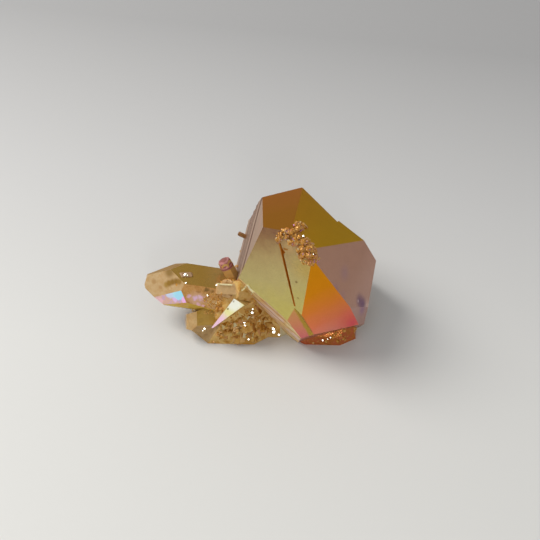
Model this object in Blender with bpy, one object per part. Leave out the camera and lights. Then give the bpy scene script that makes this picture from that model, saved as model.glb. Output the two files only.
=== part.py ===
"""Aura quartz cluster: one solid of quartz crystals that grew into each other.

Lengths are in millimetres and angles in degrees until the last step, which turns the finished mesh
into metres. +Z is up, the broken underside lies on z = 0, and the front of the cluster faces -Y.

A crystal is a block cut by flat faces. Each face is (around, slope, reach): the turn about the
crystal's long axis, the angle between that axis and the way the face looks, and the face's distance
from the crystal's own middle. A slope near 90 is a prism side, and a smaller one is a face of the
point.
"""
import math
import random

import bmesh
import bpy
from mathutils import Matrix, Vector

# The whole cluster
MM = 0.001
MIDDLE = Vector((-2.015, 7.802, 0.0))   # middle of the footprint, which becomes the origin
BLOCK = 80.0                         # side of the rough block that a crystal is cut from
SEED = 28
FLAT_ANGLE = 0.3                     # faces closer to one plane than this become one face
SLIVER = 0.0005                       # edges shorter than this are closed up

# The big crystal: its point looks up and to the front
BIG_SPOT = Vector((8.5, 2.4, 15.7))
BIG_AXIS = Vector((0.185, -0.526, 0.830))
BIG_UP = Vector((-0.305, 0.772, 0.557))
BIG_END = (0.0, 180.0, 14.0)         # where the prism ends in the root
BIG_SIDES = [
    (0.0, 89.5, 16.7),
    (56.5, 87.5, 12.0),
    (120.0, 90.0, 14.2),
    (183.5, 89.0, 12.9),
    (239.0, 92.0, 11.5),
    (302.5, 86.5, 13.8),
]
BIG_POINT = [
    (2.5, 51.0, 13.7),
    (60.0, 46.0, 8.8),
    (118.0, 48.0, 7.3),
    (178.0, 53.0, 8.7),
    (240.5, 61.0, 9.8),
    (129.0, 51.0, 8.4),
]
# What is missing from it: each notch is the room outside two flat faces
BIG_NOTCHES = [
    [(209.5, 59.5, 9.8), (241.5, 94.0, 9.15)],
    [(62.6, 88.0, 10.5), (332.6, 90.0, 3.15)],
    [(51.3, 88.0, 11.5), (152.6, 90.0, -3.3)],
]
# Growth ledges on its prism: (around, slope, reach of the ledge, height of the ledge on the axis)
BIG_LEDGES = [
    (302.5, 86.5, 13.58, -1.9),
    (302.5, 86.5, 13.38, -4.6),
    (302.5, 86.5, 13.12, -7.6),
    (302.5, 86.5, 12.96, -10.6),
    (239.0, 92.0, 11.25, -7.5),
    (0.0, 89.5, 16.40, -5.0),
    (0.0, 89.5, 16.12, -9.5),
    (56.5, 87.5, 11.70, -7.0),
    (120.0, 90.0, 13.90, -9.0),
]
# The crack across its left face, from top to end, in its own frame, with a nub beside it
CRACK_FACE = BIG_POINT[4]
CRACK_TOP = Vector((-7.99, 5.34, 12.41))
CRACK_END = Vector((-6.83, -6.72, 3.52))
CRACK_WIDTH = 0.50
CRACK_DEPTH = 0.5

# The druse on the tip of the big crystal: (x, y, radius) of each patch in the crystal's own frame
PATCHES = [
    (-3.9, 2.0, 1.7),
    (-3.6, 0.3, 1.5),
    (-5.6, 4.6, 1.3),
    (-7.4, 5.7, 0.9),
    (-3.4, 6.6, 1.1),
]
PATCH_GRAINS = (26, 22, 14, 8, 10)
PATCH_GRAIN = (0.30, 0.55)           # smallest and largest radius

# The second crystal lies with its tip to the left
SECOND_SPOT = Vector((-17.7, 4.4, 8.5))
SECOND_AXIS = Vector((-0.98, 0.08, 0.13))
SECOND_UP = Vector((0.0, 0.7, 0.7))
SECOND_FACES = [
    (55.0, 90.0, 4.5),
    (115.0, 90.0, 4.4),
    (175.0, 90.0, 4.6),
    (235.0, 90.0, 4.5),
    (295.0, 90.0, 4.5),
    (355.0, 90.0, 4.6),
    (10.0, 63.0, 4.75),
    (126.0, 70.0, 4.1),
    (102.0, 57.0, 4.14),
    (152.0, 86.0, 4.4),
    (150.0, 70.0, 5.3),
    (190.0, 60.0, 5.9),
    (250.0, 55.0, 6.1),
    (310.0, 58.0, 6.2),
    (60.0, 14.0, 8.2),
    (150.0, 30.0, 8.0),
    (0.0, 180.0, 11.0),
]

# Smaller crystals: name, middle, axis, up direction and faces
SMALL_CRYSTALS = [
    ("bump", Vector((-17.4, 3.4, 12.7)), Vector((-1.0, -0.15, 0.1)), Vector((0.0, -0.3, 1.0)), [
        (10.0, 90.0, 0.5), (70.0, 90.0, 0.6), (180.0, 90.0, 1.2), (290.0, 90.0, 0.6),
        (20.0, 42.0, 0.95), (110.0, 40.0, 1.1), (340.0, 132.0, 1.1), (80.0, 150.0, 1.3)]),
    ("corner crystal", Vector((-14.2, -1.2, 3.6)), Vector((-0.85, -0.35, -0.1)), Vector((0.0, 0.7, 0.7)), [
        (88.0, 88.0, 2.1), (0.0, 90.0, 2.6), (330.0, 90.0, 2.8), (133.0, 76.0, 2.0),
        (180.0, 54.0, 2.4), (210.0, 90.0, 2.9), (270.0, 90.0, 3.0), (71.0, 48.0, 2.45),
        (0.0, 20.0, 3.4), (10.0, 52.0, 3.6), (230.0, 52.0, 3.0), (0.0, 180.0, 6.0)]),
    ("blade", Vector((-9.0, -3.1, 8.0)), Vector((0.66, 0.17, 0.735)), Vector((-0.1, -0.75, 0.63)), [
        (0.0, 90.0, 0.6), (80.0, 97.0, 0.75), (280.0, 97.0, 0.75), (180.0, 90.0, 3.0),
        (90.0, 15.0, 4.2), (285.0, 140.0, 3.4), (0.0, 180.0, 4.6)]),
    ("sprout", Vector((-8.3, 4.0, 13.2)), Vector((-0.4, 0.18, 0.88)), Vector((0.0, 0.9, -0.2)), [
        (0.0, 90.0, 1.2), (60.0, 90.0, 1.25), (120.0, 90.0, 1.2), (180.0, 90.0, 1.25),
        (240.0, 90.0, 1.2), (300.0, 90.0, 1.25), (30.0, 52.0, 2.75), (90.0, 46.0, 2.8),
        (150.0, 50.0, 2.75), (210.0, 46.0, 2.8), (270.0, 52.0, 2.75), (330.0, 48.0, 2.8),
        (0.0, 8.0, 3.1), (0.0, 180.0, 5.0)]),
    ("square crystal", Vector((-9.1, 0.2, 12.1)), Vector((-1.0, 0.0, 0.05)), Vector((0.0, 0.7, 0.7)), [
        (0.0, 90.0, 1.1), (90.0, 90.0, 1.2), (180.0, 90.0, 1.1), (270.0, 90.0, 2.2),
        (80.0, 12.0, 1.8), (0.0, 180.0, 2.2)]),
    ("stub", Vector((-5.6, 15.4, 12.6)), Vector((-0.9, 0.3, 0.3)), Vector((0.0, 0.3, 0.9)), [
        (0.0, 90.0, 0.42), (70.0, 90.0, 0.38), (140.0, 90.0, 0.42), (210.0, 90.0, 0.38),
        (280.0, 90.0, 0.4), (20.0, 40.0, 1.2), (190.0, 35.0, 1.15), (0.0, 180.0, 3.0)]),
]

BLADE = 2                            # the bright blade's place in that list

# The root: broken blocks of quartz, each upright, with its middle and faces
ROOT_AXIS = Vector((0.0, 0.0, 1.0))
ROOT_UP = Vector((0.0, 1.0, 0.0))
ROOT_BLOCKS = [
    ("front root", Vector((-6.0, 3.0, 6.0)), [
        (182.0, 78.0, 6.0), (225.0, 62.0, 6.1), (270.0, 60.0, 6.6), (320.0, 65.0, 7.3),
        (10.0, 80.0, 8.5), (90.0, 84.0, 5.0), (146.0, 72.0, 5.4), (250.0, 15.0, 8.8),
        (205.0, 45.0, 8.4), (160.0, 40.0, 9.2), (0.0, 45.0, 3.9)]),
    ("middle root", Vector((0.0, 4.0, 5.0)), [
        (180.0, 72.0, 4.6), (210.0, 70.0, 5.1), (150.0, 74.0, 5.0), (270.0, 85.0, 5.0),
        (90.0, 85.0, 6.8), (0.0, 90.0, 6.0), (0.0, 0.0, 4.0)]),
    ("back root", Vector((7.0, 9.0, 5.0)), [
        (90.0, 82.0, 10.2), (45.0, 88.0, 10.6), (5.0, 95.0, 9.6), (325.0, 84.0, 10.4),
        (280.0, 78.0, 12.0), (180.0, 80.0, 9.0), (0.0, 0.0, 6.8), (30.0, 40.0, 9.6)]),
    ("foot", Vector((11.0, -1.0, 2.5)), [
        (182.0, 88.0, 3.5), (216.0, 80.0, 4.5), (152.0, 82.0, 4.6), (97.0, 78.0, 6.6),
        (0.0, 90.0, 5.0), (270.0, 90.0, 6.0), (180.0, 55.0, 2.9), (0.0, 0.0, 3.0)]),
]

# The druse on the root: which block, how many grains, smallest and largest radius, and the shortest
# and longest grain above the rock, in radii
ROOT_DRUSE = [
    (0, 90, 1.10, 2.00, 0.0, 0.6),
    (2, 60, 1.60, 2.60, 0.6, 1.8),
    (0, 480, 0.45, 1.10, 0.2, 1.1),
    (1, 160, 0.45, 1.00, 0.2, 1.1),
    (2, 190, 0.60, 1.50, 0.6, 2.0),
    (3, 90, 0.40, 0.85, 0.5, 1.4),
]
BESIDE_BIG = -0.7                    # no grain is centred closer than this to the big crystal
BESIDE_BLADE = -1.0                  # nor closer than this to the bright blade
GRAIN_SINK = 2.0                     # its length inside the rock, in radii
GRAIN_LEAN = 0.50                    # how far a grain may lean from straight out
LOWEST_GRAIN = 0.3                   # no grain is centred lower than this above the underside


def face_direction(around, slope):
    """The way a face looks, in its crystal's own frame."""
    a = math.radians(around)
    s = math.radians(slope)
    return Vector((math.sin(a) * math.sin(s), math.cos(a) * math.sin(s), math.cos(s)))


def crystal_frame(spot, axis, up):
    """The turn and place of a crystal: its z is its long axis, its y is nearest to up."""
    z = axis.normalized()
    y = (up - z * up.dot(z)).normalized()
    x = y.cross(z)
    turn = Matrix((x, y, z)).transposed().to_4x4()
    return Matrix.Translation(spot) @ turn


def cut_flat(shape, point, direction):
    """Takes off what lies past a plane, and closes the cut with one flat face."""
    parts = shape.verts[:] + shape.edges[:] + shape.faces[:]
    cut = bmesh.ops.bisect_plane(
        shape, geom=parts, dist=1e-5, plane_co=point, plane_no=direction, clear_outer=True)
    rim = [part for part in cut["geom_cut"] if isinstance(part, bmesh.types.BMEdge)]
    if rim:
        bmesh.ops.contextual_create(shape, geom=rim)


def new_object(name, shape):
    """Turns a finished shape into an object with outward faces."""
    bmesh.ops.recalc_face_normals(shape, faces=shape.faces)
    mesh = bpy.data.meshes.new(name)
    shape.to_mesh(mesh)
    shape.free()
    piece = bpy.data.objects.new(name, mesh)
    bpy.context.collection.objects.link(piece)
    return piece


def faceted(name, frame, faces, inward=False):
    """A block cut by flat faces. With inward, what is left is the room outside them."""
    shape = bmesh.new()
    bmesh.ops.create_cube(shape, size=BLOCK, matrix=frame)
    middle = frame.translation
    turn = frame.to_3x3()
    for around, slope, reach in faces:
        direction = turn @ face_direction(around, slope)
        spot = middle + direction * reach
        cut_flat(shape, spot, -direction if inward else direction)
    return new_object(name, shape)


def boolean(target, tool, operation):
    """Joins a tool to the target or takes it away, and removes the tool."""
    step = target.modifiers.new(operation.title(), "BOOLEAN")
    step.operation = operation
    step.solver = "EXACT"
    step.use_self = operation == "UNION"
    step.object = tool
    bpy.context.view_layer.objects.active = target
    bpy.ops.object.modifier_apply(modifier=step.name)
    bpy.data.objects.remove(tool, do_unlink=True)


def surface_reach(faces, direction):
    """How far a block's surface is from its middle, in one direction of its own frame."""
    reaches = [BLOCK / 2]
    for around, slope, reach in faces:
        facing = face_direction(around, slope).dot(direction)
        if facing > 1e-6:
            reaches.append(reach / facing)
    return min(reaches)


def is_inside(spot, frame, faces, margin):
    """Whether a point lies inside a faceted crystal, deeper than the margin."""
    own = frame.inverted() @ spot
    return all(face_direction(a, s).dot(own) < reach - margin for a, s, reach in faces)


def add_grain(shape, spot, direction, radius, length, rng):
    """One small crystal: six sides and an off-centre point."""
    twist = rng.uniform(0.0, math.pi / 3)
    frame = direction.to_track_quat("Z", "Y").to_matrix().to_4x4()
    frame = Matrix.Translation(spot) @ frame @ Matrix.Rotation(twist, 4, "Z")
    shoulder = length - radius * rng.uniform(0.7, 1.1)
    tip = Vector((rng.uniform(-0.35, 0.35) * radius, rng.uniform(-0.35, 0.35) * radius, length))
    stretch = rng.uniform(0.75, 1.25)
    rings = []
    for height in (-radius * GRAIN_SINK, shoulder):
        ring = []
        for corner in range(6):
            turn = math.radians(60.0 * corner)
            place = Vector((math.cos(turn) * radius * stretch, math.sin(turn) * radius, height))
            ring.append(shape.verts.new(frame @ place))
        rings.append(ring)
    top = shape.verts.new(frame @ tip)
    shape.faces.new(rings[0][::-1])
    for corner in range(6):
        after = (corner + 1) % 6
        shape.faces.new((rings[0][corner], rings[0][after], rings[1][after], rings[1][corner]))
        shape.faces.new((rings[1][corner], rings[1][after], top))


def tilted(direction, rng):
    """A direction that leans a little at random."""
    lean = Vector((rng.uniform(-1, 1), rng.uniform(-1, 1), rng.uniform(-1, 1))) * GRAIN_LEAN
    return (direction + lean).normalized()


def make_big_crystal():
    """The big crystal with its notches, growth ledges and crack."""
    frame = crystal_frame(BIG_SPOT, BIG_AXIS, BIG_UP)
    crystal = faceted("big crystal", frame, BIG_SIDES + BIG_POINT + [BIG_END])
    for faces in BIG_NOTCHES:
        boolean(crystal, faceted("notch", frame, faces, inward=True), "DIFFERENCE")
    for around, slope, reach, height in BIG_LEDGES:
        ledge = faceted("ledge", frame, [(around, slope, reach), (0.0, 180.0, -height)], inward=True)
        boolean(crystal, ledge, "DIFFERENCE")
    boolean(crystal, make_crack(frame), "DIFFERENCE")
    return crystal


def make_crack(frame):
    """A thin wedge that opens the crack, wider towards its lower end, with a nub at its side."""
    out = face_direction(CRACK_FACE[0], CRACK_FACE[1])
    along = CRACK_END - CRACK_TOP
    side = along.normalized().cross(out)
    outline = [
        CRACK_TOP,
        CRACK_TOP + along * 0.13 - side * CRACK_WIDTH * 0.4,
        CRACK_TOP + along * 0.19 - side * CRACK_WIDTH * 1.4,
        CRACK_TOP + along * 0.22 - side * CRACK_WIDTH * 0.4,
        CRACK_TOP + along * 0.62 - side * CRACK_WIDTH * 0.5,
        CRACK_END,
        CRACK_TOP + along * 0.60 + side * CRACK_WIDTH * 0.5,
        CRACK_TOP + along * 0.20 + side * CRACK_WIDTH * 0.3,
    ]
    shape = bmesh.new()
    low = [shape.verts.new(frame @ (spot - out * CRACK_DEPTH)) for spot in outline]
    high = [shape.verts.new(frame @ (spot + out * CRACK_DEPTH)) for spot in outline]
    shape.faces.new(low)
    shape.faces.new(high[::-1])
    for corner in range(len(outline)):
        after = (corner + 1) % len(outline)
        shape.faces.new((low[corner], low[after], high[after], high[corner]))
    return new_object("crack", shape)


def point_height(x, y):
    """The height of the big crystal's point above its own x and y."""
    heights = []
    for around, slope, reach in BIG_POINT:
        out = face_direction(around, slope)
        heights.append((reach - out.x * x - out.y * y) / out.z)
    return min(heights)


def add_tip_druse(shape, rng):
    """The patch of small crystals on the tip of the big crystal."""
    frame = crystal_frame(BIG_SPOT, BIG_AXIS, BIG_UP)
    turn = frame.to_3x3()
    for (x, y, spread), count in zip(PATCHES, PATCH_GRAINS):
        for _ in range(count):
            around = rng.uniform(0.0, math.tau)
            away = spread * math.sqrt(rng.random())
            own = Vector((x + math.cos(around) * away, y + math.sin(around) * away, 0.0))
            own.z = point_height(own.x, own.y)
            radius = rng.uniform(*PATCH_GRAIN)
            direction = tilted(turn @ Vector((-0.25, 0.0, 1.0)), rng)
            length = radius * rng.uniform(1.0, 1.9)
            add_grain(shape, frame @ own, direction, radius, length, rng)


def add_root_druse(shape, rng):
    """Small crystals all over the root, except where the big ones cover it."""
    big = crystal_frame(BIG_SPOT, BIG_AXIS, BIG_UP)
    second = crystal_frame(SECOND_SPOT, SECOND_AXIS, SECOND_UP)
    _, blade_spot, blade_axis, blade_up, blade_faces = SMALL_CRYSTALS[BLADE]
    blade = crystal_frame(blade_spot, blade_axis, blade_up)
    for block, count, smallest, largest, shortest, longest in ROOT_DRUSE:
        _, middle, faces = ROOT_BLOCKS[block]
        made = 0
        while made < count:
            out = Vector((rng.uniform(-1, 1), rng.uniform(-1, 1), rng.uniform(-1, 1)))
            if not 0.2 < out.length < 1.0:
                continue
            out.normalize()
            spot = middle + out * surface_reach(faces, out)
            made += 1
            if spot.z < LOWEST_GRAIN:
                continue
            if is_inside(spot, big, BIG_SIDES + BIG_POINT + [BIG_END], BESIDE_BIG):
                continue
            if is_inside(spot, blade, blade_faces, BESIDE_BLADE):
                continue
            if is_inside(spot, second, SECOND_FACES, 0.3):
                continue
            radius = rng.uniform(smallest, largest)
            length = radius * rng.uniform(shortest, longest)
            add_grain(shape, spot, tilted(out, rng), radius, length, rng)


def make_druse():
    """All the small crystals in one mesh, still overlapping each other."""
    rng = random.Random(SEED)
    shape = bmesh.new()
    add_tip_druse(shape, rng)
    add_root_druse(shape, rng)
    return new_object("druse", shape)


def drop_loose_bits(shape):
    """Keeps the largest body, and drops chips that the flat cut left hanging on nothing."""
    bodies = []
    left = set(shape.verts)
    while left:
        edge_of_body = [left.pop()]
        body = set(edge_of_body)
        while edge_of_body:
            corner = edge_of_body.pop()
            for edge in corner.link_edges:
                other = edge.other_vert(corner)
                if other not in body:
                    body.add(other)
                    edge_of_body.append(other)
        left -= body
        bodies.append(body)
    bodies.sort(key=len)
    for body in bodies[:-1]:
        bmesh.ops.delete(shape, geom=list(body), context="VERTS")


def finish_underside(cluster):
    """Cuts the cluster flat at z = 0, cleans its mesh, and turns millimetres into metres."""
    shape = bmesh.new()
    shape.from_mesh(cluster.data)
    drop_loose_bits(shape)
    bmesh.ops.remove_doubles(shape, verts=shape.verts, dist=SLIVER)
    bmesh.ops.dissolve_degenerate(shape, edges=shape.edges, dist=SLIVER)
    bmesh.ops.dissolve_limit(
        shape, angle_limit=math.radians(FLAT_ANGLE), verts=shape.verts, edges=shape.edges)
    bmesh.ops.triangulate(shape, faces=shape.faces)
    bmesh.ops.translate(shape, vec=-MIDDLE, verts=shape.verts)
    bmesh.ops.scale(shape, vec=(MM, MM, MM), verts=shape.verts)
    bmesh.ops.recalc_face_normals(shape, faces=shape.faces)
    shape.to_mesh(cluster.data)
    shape.free()


def make_quartz():
    """The cluster's material: honey-coloured glassy quartz."""
    quartz = bpy.data.materials.new("aura quartz")
    quartz.use_nodes = True
    shader = quartz.node_tree.nodes["Principled BSDF"]
    shader.inputs["Base Color"].default_value = (0.42, 0.24, 0.07, 1.0)
    shader.inputs["Roughness"].default_value = 0.12
    shader.inputs["Metallic"].default_value = 0.0
    shader.inputs["IOR"].default_value = 1.54
    return quartz


def make_cluster():
    """Grows all the crystals together into one solid."""
    cluster = make_big_crystal()
    frame = crystal_frame(SECOND_SPOT, SECOND_AXIS, SECOND_UP)
    tools = [faceted("second crystal", frame, SECOND_FACES)]
    for name, spot, axis, up, faces in SMALL_CRYSTALS:
        tools.append(faceted(name, crystal_frame(spot, axis, up), faces))
    for name, spot, faces in ROOT_BLOCKS:
        tools.append(faceted(name, crystal_frame(spot, ROOT_AXIS, ROOT_UP), faces))
    tools.append(make_druse())
    for tool in tools:
        boolean(cluster, tool, "UNION")
    ground = crystal_frame(Vector((0.0, 0.0, 0.0)), ROOT_AXIS, ROOT_UP)
    boolean(cluster, faceted("ground", ground, [(0.0, 180.0, 0.0)], inward=True), "DIFFERENCE")
    finish_underside(cluster)
    cluster.name = "quartz_cluster"
    cluster.data.name = "quartz_cluster"
    cluster.data.materials.clear()
    cluster.data.materials.append(make_quartz())
    return cluster


def main():
    """Clears the file and builds the cluster."""
    for old in list(bpy.data.objects):
        bpy.data.objects.remove(old, do_unlink=True)
    make_cluster()


main()
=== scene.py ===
"""Looks of an aura quartz cluster: coated crystal faces, druse, small crystals, and a pale studio floor.

Lengths are in millimetres until they reach Blender, and colours are given as a screen shows them, from 0 to
255. +Z is up, and the cluster's front faces -Y.
"""
import math
import random

import bmesh
import bpy
from bpy.props import FloatProperty, FloatVectorProperty, IntProperty, PointerProperty
from mathutils import Matrix, Vector
from mathutils.bvhtree import BVHTree


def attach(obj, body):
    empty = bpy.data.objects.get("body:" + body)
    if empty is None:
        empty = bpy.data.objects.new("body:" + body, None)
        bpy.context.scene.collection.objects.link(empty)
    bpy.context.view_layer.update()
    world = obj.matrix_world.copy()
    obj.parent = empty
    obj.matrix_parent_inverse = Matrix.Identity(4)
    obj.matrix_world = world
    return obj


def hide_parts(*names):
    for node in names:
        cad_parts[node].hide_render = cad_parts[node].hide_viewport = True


bl_info = {
    "name": "Aura Quartz Cluster",
    "version": (1, 0, 0),
    "blender": (4, 5, 0),
    "location": "3D View > Sidebar > Aura Quartz",
    "description": "Builds a coated quartz cluster with druse, small crystals and a studio floor",
    "category": "Add Mesh",
}

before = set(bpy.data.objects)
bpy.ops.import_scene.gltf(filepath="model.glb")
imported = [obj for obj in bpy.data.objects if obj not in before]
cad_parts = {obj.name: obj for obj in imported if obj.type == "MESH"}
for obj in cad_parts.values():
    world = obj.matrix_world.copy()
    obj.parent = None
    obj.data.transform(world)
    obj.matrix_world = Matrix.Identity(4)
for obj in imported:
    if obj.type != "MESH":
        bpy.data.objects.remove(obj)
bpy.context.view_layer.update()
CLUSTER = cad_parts["quartz_cluster"]
MM = 0.001
BODY = "root"

# Crystals: middle, long axis and up direction of each
BIG = (Vector((10.515, -5.402, 15.7)), Vector((0.185, -0.526, 0.830)), Vector((-0.305, 0.772, 0.557)))
SECOND = (Vector((-15.685, -3.402, 8.5)), Vector((-0.98, 0.08, 0.13)), Vector((0.0, 0.7, 0.7)))
BUMP = (Vector((-15.385, -4.402, 12.7)), Vector((-1.0, -0.15, 0.1)), Vector((0.0, -0.3, 1.0)))
CORNER = (Vector((-12.185, -9.002, 3.6)), Vector((-0.85, -0.35, -0.1)), Vector((0.0, 0.7, 0.7)))
BLADE = (Vector((-6.985, -10.902, 8.0)), Vector((0.66, 0.17, 0.735)), Vector((-0.1, -0.75, 0.63)))
SPROUT = (Vector((-6.285, -3.802, 13.2)), Vector((-0.4, 0.18, 0.88)), Vector((0.0, 0.9, -0.2)))
SQUARE = (Vector((-7.085, -7.602, 12.1)), Vector((-1.0, 0.0, 0.05)), Vector((0.0, 0.7, 0.7)))
STUB = (Vector((-3.585, 7.598, 12.6)), Vector((-0.9, 0.3, 0.3)), Vector((0.0, 0.3, 0.9)))
CRYSTALS = (BIG, SECOND, BUMP, CORNER, BLADE, SPROUT, SQUARE, STUB)
BIG_AXIS = BIG[1].normalized()

# Flat faces by finish: (crystal, turn about its axis, slope from its axis, reach, slack of the reach)
FLATS = [
    ("tip_brown", BIG, 2.5, 51.0, 13.7, 0.08),
    ("tip_olive", BIG, 60.0, 46.0, 8.8, 0.08),
    ("tip_mauve", BIG, 118.0, 48.0, 7.3, 0.08),
    ("tip_orange", BIG, 178.0, 53.0, 8.7, 0.08),
    ("tip_straw", BIG, 240.5, 61.0, 9.8, 0.08),
    ("tip_corner", BIG, 129.0, 51.0, 8.4, 0.08),
    ("pink_facet", BIG, 209.5, 59.5, 9.8, 0.08),
    ("lime_riser", BIG, 241.5, 94.0, 9.15, 0.08),
    ("step_olive", BIG, 62.6, 88.0, 10.5, 0.15),
    ("step_olive", BIG, 51.3, 88.0, 11.5, 0.15),
    ("step_olive", BIG, 332.6, 90.0, 3.15, 0.15),
    ("step_olive", BIG, 152.6, 90.0, -3.3, 0.15),
    ("side_left", BIG, 302.5, 86.5, 13.4, 0.6),
    ("side_low", BIG, 239.0, 92.0, 11.4, 0.3),
    ("side_front", BIG, 183.5, 89.0, 12.9, 0.1),
    ("side_right", BIG, 120.0, 90.0, 14.0, 0.4),
    ("side_back_right", BIG, 56.5, 87.5, 11.9, 0.4),
    ("side_back", BIG, 0.0, 89.5, 16.4, 0.5),
    ("second_top", SECOND, 55.0, 90.0, 4.5, 0.06),
    ("second_front", SECOND, 115.0, 90.0, 4.4, 0.06),
    ("second_low", SECOND, 175.0, 90.0, 4.6, 0.06),
    ("second_side", SECOND, 235.0, 90.0, 4.5, 0.06),
    ("second_side", SECOND, 295.0, 90.0, 4.5, 0.06),
    ("second_slope", SECOND, 355.0, 90.0, 4.6, 0.06),
    ("second_slope", SECOND, 10.0, 63.0, 4.75, 0.06),
    ("second_rainbow", SECOND, 126.0, 70.0, 4.1, 0.06),
    ("second_shoulder", SECOND, 102.0, 57.0, 4.14, 0.06),
    ("second_lime", SECOND, 152.0, 86.0, 4.4, 0.06),
    ("second_lime", SECOND, 150.0, 70.0, 5.3, 0.06),
    ("second_tip", SECOND, 190.0, 60.0, 5.9, 0.06),
    ("second_tip", SECOND, 250.0, 55.0, 6.1, 0.06),
    ("second_slope", SECOND, 310.0, 58.0, 6.2, 0.06),
    ("second_shoulder", SECOND, 60.0, 14.0, 8.2, 0.06),
    ("second_tip", SECOND, 150.0, 30.0, 8.0, 0.06),
    ("blade_bright", BLADE, 0.0, 90.0, 0.6, 0.05),
    ("blade_side", BLADE, 80.0, 97.0, 0.75, 0.05),
    ("blade_side", BLADE, 280.0, 97.0, 0.75, 0.05),
    ("blade_side", BLADE, 90.0, 15.0, 4.2, 0.05),
    ("blade_side", BLADE, 285.0, 140.0, 3.4, 0.05),
    ("corner_window", CORNER, 88.0, 88.0, 2.1, 0.05),
    ("square_grey", SQUARE, 0.0, 90.0, 1.1, 0.05),
    ("square_grey", SQUARE, 90.0, 90.0, 1.2, 0.05),
]
FLAT_TURN = 1.5                      # how far, in degrees, a face may turn from its listed direction

# Crystals whose other faces share one finish:
# (finish, crystal, radius, lowest and highest height on its axis)
REGIONS = [
    ("sprout_cap", SPROUT, 2.2, 1.2, 4.0),
    ("sprout_amber", SPROUT, 1.7, -2.5, 4.0),
    ("bump_tan", BUMP, 1.6, -1.6, 1.6),
    ("corner_clear", CORNER, 3.6, -2.5, 3.8),
    ("square_grey", SQUARE, 1.9, -1.8, 2.0),
    ("stub_brown", STUB, 0.9, 0.0, 1.6),
]
TIP_HEIGHT = 4.5                     # druse above this on the big crystal's axis is its tip's patch
CRACK_REACH = 1.2                    # deepest that the crack goes under the straw face
CRACK_SKIN = 0.05                    # what is less deep than this is the straw face itself
CRACK_SIDE, CRACK_FOOT = -5.5, 1.0   # the crack is left of this x and above this z of the crystal
UNDERSIDE = 0.02                     # faces lower than this are the broken underside
FOOT_START = 8.5                     # the root right of this x is the orange foot

# The quartz itself
AMBER = (240, 200, 128)              # what is left of white light deep inside it
DENSITY = 45.0                       # absorption for each metre
QUARTZ_IOR = 1.54

# Growth ledges of the big crystal, as heights on its axis
LEDGES = (-10.6, -7.6, -4.6, -1.9, 1.3)
LEDGE_LOW, LEDGE_HIGH = -14.0, 6.0

# The patch on the tip: (x, y, radius, grains) in the big crystal's own frame
TIP_PATCHES = [
    (-3.9, 2.0, 1.75, 110),
    (-3.6, 0.3, 1.55, 100),
    (-5.6, 4.6, 1.35, 60),
    (-7.4, 5.7, 0.95, 26),
    (-3.4, 6.6, 1.15, 36),
]

# The fine druse of the root
ROOT_REACH = ((-15.0, 22.0), (-15.0, 14.0), (0.3, 15.0))     # lowest and highest x, y and z
RAY_START = 60.0                     # how far off a ray towards the root starts
LOWEST_GRAIN = 0.4                   # no grain grows lower than this
BARE_HEIGHT = 9.5                    # in front, no grain grows higher than this
BLADE_SIDE, BLADE_ENDS = 1.6, 5.0    # the part of the blade crystal that stays free of grains
FLECK_RADII = (0.10, 0.24)
FLECKS_ACROSS = (204.0, 223.0)       # where the yellow flecks lie in the picture, in pixels
FLECKS_DOWN = (293.0, 314.0)

# The sprout's cap
CAP_RADIUS = 1.52
CAP_RISE = 2.15
CAP_RINGS = 9
CAP_GROOVE = 0.955                   # every second ring is drawn in by this
CAP_ROUND = 1.25                     # how far the cap closes, as an angle
CAP_BULGE = 0.55                     # below 1, the cap stays wide and closes late
CAP_SEAT = 1.15                      # its foot, as a height on the sprout's axis

# The camera's view: a point is found by where it shows in the square picture, in pixels of 540
PICTURE = 540.0
SENSOR = 36.0
CAMERA_TARGET = Vector((2.015, -7.802, 17.7))
KEY_SPOT = Vector((-380.0, 125.0, 450.0))
FILL_SPOT = Vector((50.0, -600.0, 340.0))
KEY_SIZE, FILL_SIZE = 0.36, 0.12     # across, in metres
FLOOR_SIZE = 3.0                     # across, in metres

# Facets that mirror a light: (pixels from the left, pixels from the top, radius in millimetres)
GLINTS = [
    (207.4, 295.0, 0.22), (217.0, 285.2, 0.20), (185.0, 274.6, 0.30), (187.2, 275.4, 0.22),
    (185.8, 283.2, 0.18), (251.8, 313.0, 0.32), (244.4, 322.6, 0.28), (244.8, 325.4, 0.22),
    (273.4, 328.4, 0.44), (273.8, 331.6, 0.40), (278.9, 334.4, 0.28), (248.6, 339.0, 0.26),
    (204.4, 328.2, 0.26), (202.6, 330.0, 0.18), (252.6, 309.0, 0.20), (302.7, 236.6, 0.26),
    (312.2, 254.4, 0.24), (322.6, 339.8, 0.22), (330.4, 337.2, 0.20), (327.6, 338.8, 0.14),
]
GLINT_LIFT = 0.12                    # how far a facet stands out of the surface
SHADOW_GAP = 0.3                     # how far over the surface a light is looked for

# Raised edges beside the lower prism face and on the square crystal, pale as a painted highlight, corner by
# corner in pixels
ZIGZAG = [(241.4, 290.6), (247.9, 284.8), (250.4, 288.4), (253.6, 291.6), (251.8, 294.0)]
LOW_LINE = [(217.6, 284.0), (225.2, 284.6), (232.4, 285.0)]
ZIGZAG_WIDTH = 0.40
BAR_LIFT = 0.14                      # how far a bar stands out of the surface
BAR_STEPS = 4                        # bars for each leg, so that they follow the surface
LONGEST_BAR = 2.2                    # a longer bar would leave the surface, and is left out


def rgb(red, green, blue):
    """A screen colour from 0 to 255 as the linear colour that a shader takes."""
    linear = []
    for level in (red, green, blue):
        share = level / 255.0
        linear.append(share / 12.92 if share <= 0.04045 else ((share + 0.055) / 1.055) ** 2.4)
    return (linear[0], linear[1], linear[2], 1.0)


def face_direction(around, slope):
    """The way a face looks, in its crystal's own frame."""
    a = math.radians(around)
    s = math.radians(slope)
    return Vector((math.sin(a) * math.sin(s), math.cos(a) * math.sin(s), math.cos(s)))


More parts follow.
